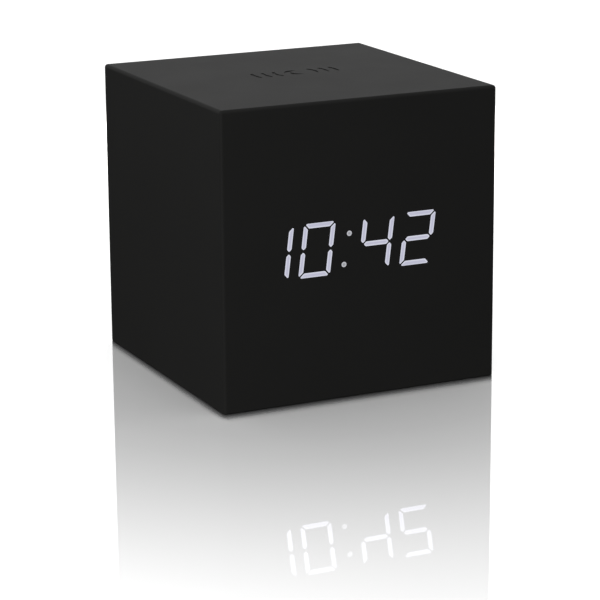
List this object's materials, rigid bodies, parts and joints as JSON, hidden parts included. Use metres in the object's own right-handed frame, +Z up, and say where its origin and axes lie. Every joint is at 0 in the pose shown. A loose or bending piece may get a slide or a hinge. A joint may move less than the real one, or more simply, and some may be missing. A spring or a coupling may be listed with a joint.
{
  "type": "digital alarm clock",
  "caption": "Small black cube alarm clock whose closed front hides a segment display, with keys, power inlet, sound holes and a battery door in its back cover",
  "frame": {"origin": "middle of the cube's underside, where it stands", "axes": "+Z up, the lit front faces -Y, the back cover faces +Y, +X is at the right of someone who looks at the front"},
  "size_m": [0.078, 0.078, 0.078],
  "materials": {
    "case_black": "very fine matt grain, soft to the touch",
    "cover_black": "moulded, fine spark grain",
    "key_black": "moulded, satin",
    "film_white": "translucent light-spreading film",
    "light_box_white": "reflective white moulding",
    "board_green": "solder mask over glass-fibre laminate",
    "package_black": "moulded packages",
    "connector_cream": "moulded nylon",
    "ribbon_grey": "ribbed cable sleeve",
    "sleeve_red": "wire sleeve",
    "sleeve_black": "wire sleeve",
    "spring_steel": "bright drawn steel",
    "screw_steel": "blackened",
    "contact_nickel": "nickel-plated",
    "cell_jacket": "printed sleeve over a metal can"
  },
  "bodies": {
    "clock_case": {"case_shell": "case_black", "back_cover": "cover_black", "display_film": "film_white", "display_reflector": "light_box_white", "display_board": "board_green", "control_board": "board_green", "display_driver_chip": "package_black", "clock_chip": "package_black", "supply_regulator": "package_black", "supply_capacitor": "package_black", "alarm_buzzer": "package_black", "power_socket_tongue": "package_black", "display_connector": "connector_cream", "control_connector": "connector_cream", "ribbon_cable": "ribbon_grey", "positive_wire": "sleeve_red", "negative_wire": "sleeve_black", "touch_wire": "sleeve_black", "battery_spring_1": "spring_steel", "battery_spring_2": "spring_steel", "battery_spring_3": "spring_steel", "power_socket_shell": "spring_steel", "microphone": "spring_steel", "clock_crystal": "spring_steel", "down_switch": "spring_steel", "set_switch": "spring_steel", "up_switch": "spring_steel", "cover_screw_1": "screw_steel", "cover_screw_2": "screw_steel", "cover_screw_3": "screw_steel", "cover_screw_4": "screw_steel", "display_screw_1": "screw_steel", "display_screw_2": "screw_steel", "display_screw_3": "screw_steel", "display_screw_4": "screw_steel", "control_screw_1": "screw_steel", "control_screw_2": "screw_steel", "positive_contact": "contact_nickel", "negative_contact": "contact_nickel", "lower_link_contact": "contact_nickel", "upper_link_contact": "contact_nickel", "touch_plate": "contact_nickel", "battery_cell_1": "cell_jacket", "battery_cell_2": "cell_jacket", "battery_cell_3": "cell_jacket"},
    "battery_door": {"battery_door": "cover_black"},
    "down_key": {"down_key": "key_black", "down_plunger": "package_black"},
    "set_key": {"set_key": "key_black", "set_plunger": "package_black"},
    "up_key": {"up_key": "key_black", "up_plunger": "package_black"}
  },
  "joints": [
    {"name": "down_key_slide", "type": "slide", "parent": "clock_case", "child": "down_key", "axis": [0, -1, 0], "range_m": [0, 0.0006], "stiffness_N_per_m": 1500, "springref_m": -0.0002},
    {"name": "set_key_slide", "type": "slide", "parent": "clock_case", "child": "set_key", "axis": [0, -1, 0], "range_m": [0, 0.0006], "stiffness_N_per_m": 1500, "springref_m": -0.0002},
    {"name": "up_key_slide", "type": "slide", "parent": "clock_case", "child": "up_key", "axis": [0, -1, 0], "range_m": [0, 0.0006], "stiffness_N_per_m": 1500, "springref_m": -0.0002},
    {"name": "battery_door_hinge", "type": "hinge", "parent": "clock_case", "child": "battery_door", "pos_m": [0, 0.0385, 0.0101], "axis": [-1, 0, 0], "range_deg": [0, 75]}
  ]
}
